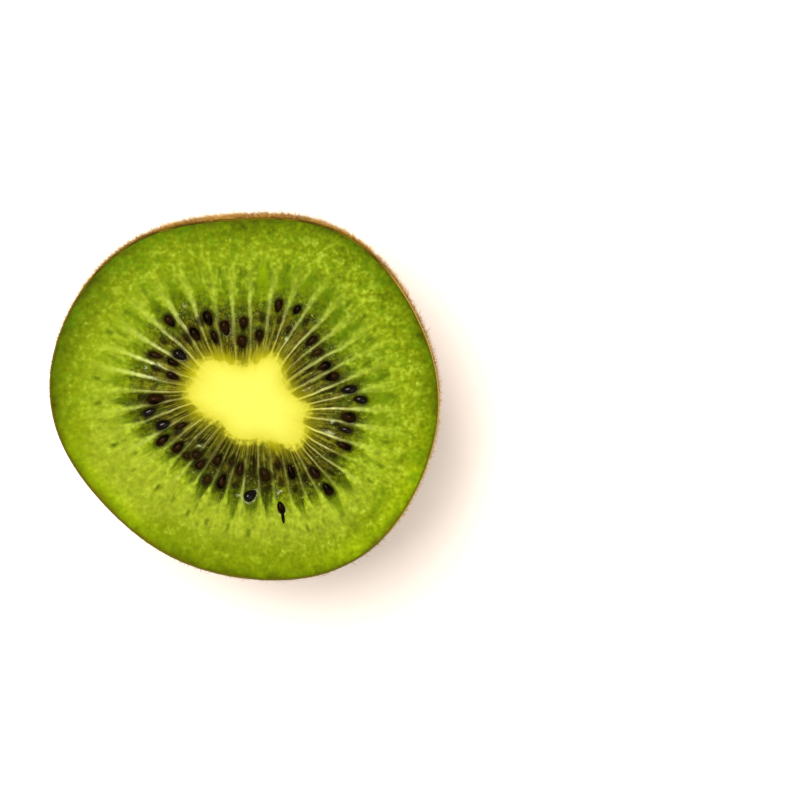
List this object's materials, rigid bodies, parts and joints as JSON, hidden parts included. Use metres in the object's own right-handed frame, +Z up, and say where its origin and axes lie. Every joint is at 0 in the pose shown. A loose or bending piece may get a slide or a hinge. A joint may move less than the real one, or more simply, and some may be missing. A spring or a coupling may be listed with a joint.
{
  "type": "kiwi fruit half",
  "caption": "Half a kiwi fruit resting on its rounded end, with a flat cut face that shows a pale core and a ring of seeds.",
  "frame": {"origin": "middle of the small flat spot under the fruit that it rests on", "axes": "+Z up, square to the cut face; seen from above with +Y up the page, the face is as in the picture"},
  "size_m": [0.0547, 0.0515, 0.0338],
  "materials": {
    "kiwi_skin": "thin brown skin under short golden-brown fuzz, matt",
    "kiwi_flesh": "wet, translucent green flesh, lighter between the seeds",
    "kiwi_seed": "near-black seed coat, smooth and wet",
    "kiwi_fuzz": "short stiff golden-brown hairs"
  },
  "bodies": {
    "root": {"kiwi_half": "kiwi_skin"}
  },
  "joints": []
}
